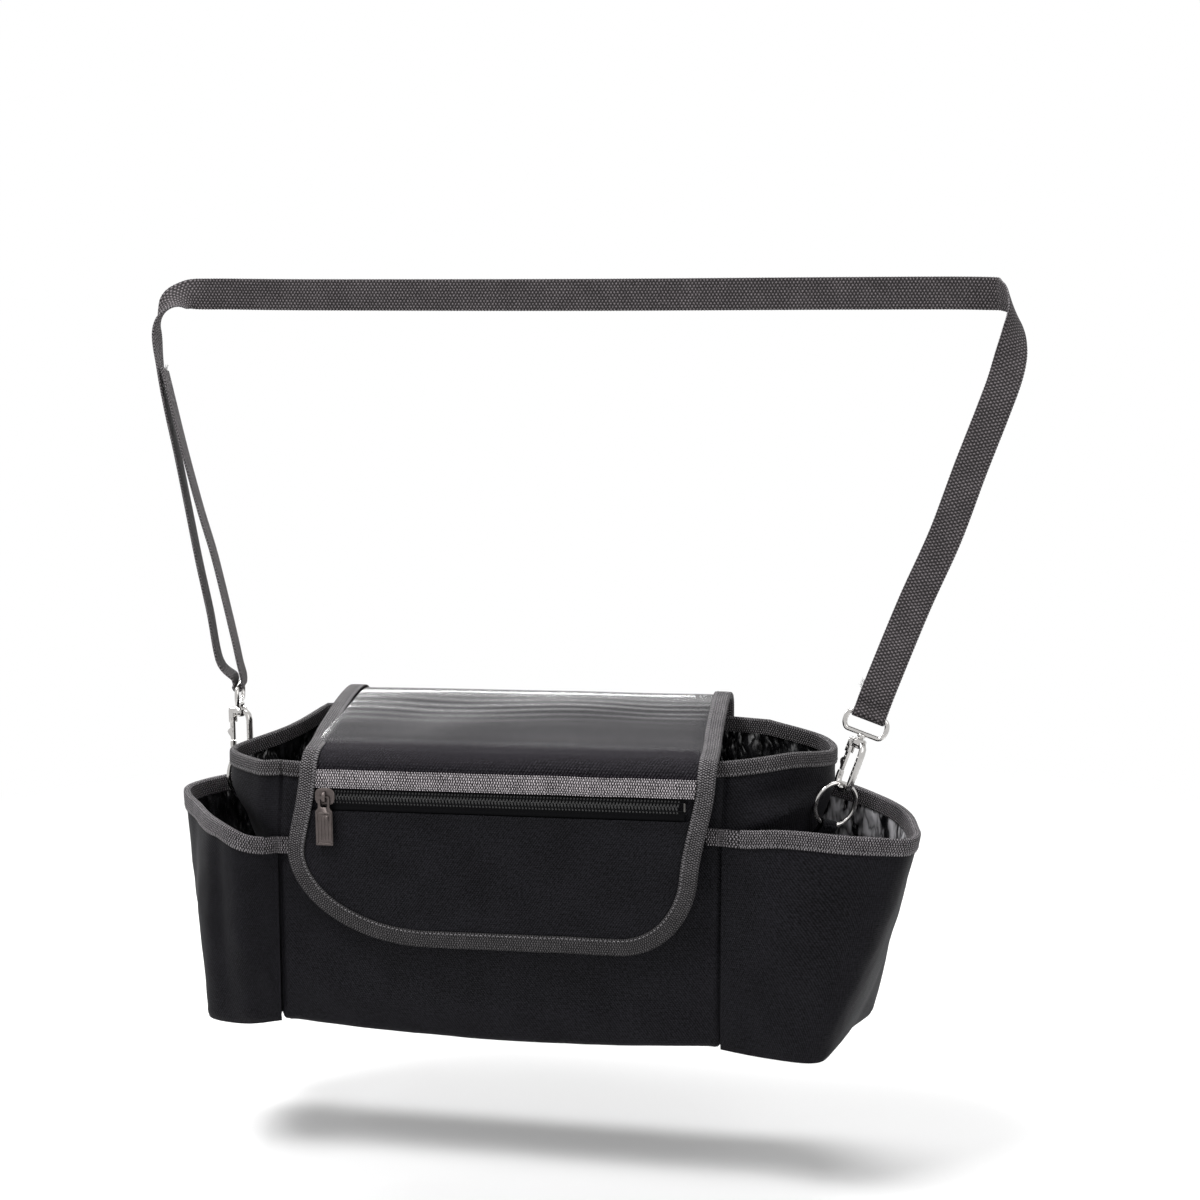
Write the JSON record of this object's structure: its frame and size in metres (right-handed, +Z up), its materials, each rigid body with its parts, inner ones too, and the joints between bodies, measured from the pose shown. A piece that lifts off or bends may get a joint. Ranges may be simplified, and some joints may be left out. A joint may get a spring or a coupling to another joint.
{
  "type": "stroller organizer",
  "caption": "Soft open organizer bag with end pockets, a window flap with zip pocket, and a webbing strap with swivel snap hooks that hangs it from a bar.",
  "frame": {"origin": "middle of the level run of the strap, where it lies over the bar it hangs from", "axes": "+Z up, -Y the front with the flap, +X to the right seen from the front"},
  "size_m": [0.5585, 0.149, 0.4547],
  "materials": {
    "black_polyester": "matt fine twill polyester",
    "black_lining": "thin glossy lining",
    "grey_binding": "ribbed grosgrain tape",
    "grey_webbing": "woven webbing",
    "clear_film": "clear glossy film",
    "grey_board": "plain stiffener board",
    "black_nylon": "nylon coil, tape and touch fastener",
    "bright_nickel": "bright nickel plate",
    "dark_pewter": "worn dark metal"
  },
  "bodies": {
    "organizer": {"back_panel": "black_polyester", "base_board": "grey_board", "base_panel": "black_polyester", "divider_left": "black_lining", "divider_right": "black_lining", "flap_backing": "black_polyester", "flap_binding": "grey_binding", "flap_hook_patch": "black_nylon", "flap_loop_patch": "black_nylon", "flap_pocket_panel": "black_polyester", "flap_window": "clear_film", "front_panel": "black_polyester", "hook_loop_left": "bright_nickel", "hook_loop_right": "bright_nickel", "main_lining": "black_lining", "main_rim_binding": "grey_binding", "pocket_base_left": "black_polyester", "pocket_base_right": "black_polyester", "pocket_binding_left": "grey_binding", "pocket_binding_right": "grey_binding", "pocket_lining_left": "black_lining", "pocket_lining_right": "black_lining", "pocket_wall_left": "black_polyester", "pocket_wall_right": "black_polyester", "ring_tab_left": "black_polyester", "ring_tab_right": "black_polyester", "side_panel_left": "black_polyester", "side_panel_right": "black_polyester", "strap_webbing": "grey_webbing", "window_tape": "grey_binding", "zip_coil_lower": "black_nylon", "zip_coil_upper": "black_nylon", "zip_stop_left": "bright_nickel", "zip_stop_right": "bright_nickel", "zip_tape_lower": "black_nylon", "zip_tape_upper": "black_nylon"},
    "zip_slider": {"zip_slider": "dark_pewter"},
    "zip_pull": {"zip_pull": "dark_pewter"},
    "ring_left": {"ring_left": "bright_nickel"},
    "ring_right": {"ring_right": "bright_nickel"},
    "hook_left": {"hook_body_left": "bright_nickel", "hook_pin_left": "bright_nickel"},
    "hook_right": {"hook_body_right": "bright_nickel", "hook_pin_right": "bright_nickel"},
    "gate_left": {"hook_gate_left": "bright_nickel"},
    "gate_right": {"hook_gate_right": "bright_nickel"}
  },
  "joints": [
    {"name": "zip_slider_travel", "type": "slide", "parent": "organizer", "child": "zip_slider", "axis": [0.9999, 0, 0.0135], "range_m": [0, 0.208]},
    {"name": "zip_pull_swing", "type": "hinge", "parent": "zip_slider", "child": "zip_pull", "pos_m": [-0.12799, -0.14494, -0.2983], "axis": [-0.9999, 0, -0.0135], "range_deg": [0, 110]},
    {"name": "ring_swing_left", "type": "hinge", "parent": "organizer", "child": "ring_left", "pos_m": [-0.21127, -0.05635, -0.31955], "axis": [0.3411, 0.9385, 0.0529], "range_deg": [-3, 3]},
    {"name": "ring_swing_right", "type": "hinge", "parent": "organizer", "child": "ring_right", "pos_m": [0.168, -0.08323, -0.31704], "axis": [0.7786, 0.5565, -0.2899], "range_deg": [-3, 3]},
    {"name": "hook_swivel_left", "type": "hinge", "parent": "organizer", "child": "hook_left", "pos_m": [-0.21071, -0.05977, -0.26245], "axis": [0.01, -0.0599, 0.9982], "range_deg": [-20, 20]},
    {"name": "hook_swivel_right", "type": "hinge", "parent": "organizer", "child": "hook_right", "pos_m": [0.18686, -0.08151, -0.26307], "axis": [0.3298, 0.03, 0.9436], "range_deg": [-20, 20]},
    {"name": "gate_left_press", "type": "hinge", "parent": "hook_left", "child": "gate_left", "pos_m": [-0.21737, -0.05685, -0.27123], "axis": [-0.3411, -0.9385, -0.0529], "range_deg": [0, 20], "stiffness_Nm_per_rad": 0.02, "springref_deg": -11.46},
    {"name": "gate_right_press", "type": "hinge", "parent": "hook_right", "child": "gate_right", "pos_m": [0.18016, -0.07597, -0.27044], "axis": [-0.7786, -0.5565, 0.2899], "range_deg": [0, 20], "stiffness_Nm_per_rad": 0.02, "springref_deg": -11.46}
  ]
}
